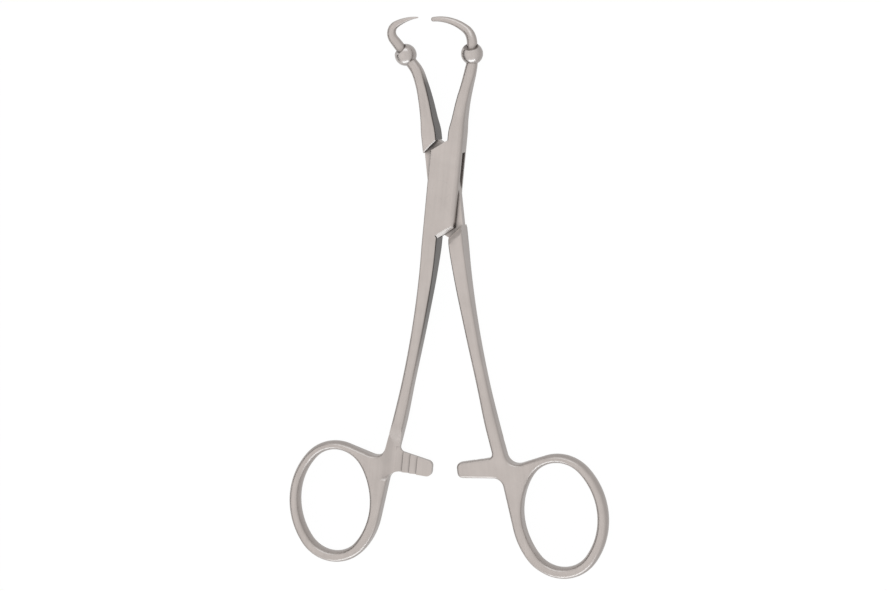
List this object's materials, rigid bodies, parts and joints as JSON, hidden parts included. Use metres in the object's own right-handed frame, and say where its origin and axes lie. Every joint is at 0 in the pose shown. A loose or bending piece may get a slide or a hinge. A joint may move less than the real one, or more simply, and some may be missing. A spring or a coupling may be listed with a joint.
{
  "type": "towel forceps",
  "caption": "Ring-handled towel forceps with a box lock, ratchet arms and curved, sharp tines behind ball stops.",
  "frame": {"origin": "pivot axis of the lock, on the back face of the box", "axes": "+Z along the pivot axis towards the viewer of the picture, +Y along the instrument towards the jaws, +X to the right, so the instrument lies flat in XY"},
  "size_m": [0.079, 0.1305, 0.0052],
  "materials": {
    "satin_steel": "satin",
    "polished_steel": "fine satin"
  },
  "bodies": {
    "box_side": {"box_half": "satin_steel", "pivot_rivet": "satin_steel", "ball_stop_box": "polished_steel"},
    "tongue_side": {"tongue_half": "satin_steel", "ball_stop_tongue": "polished_steel"}
  },
  "joints": [
    {"name": "pivot", "type": "hinge", "parent": "box_side", "child": "tongue_side", "pos_m": [0, 0, 0.0026], "axis": [0, 0, 1], "range_deg": [-12, 45]}
  ]
}
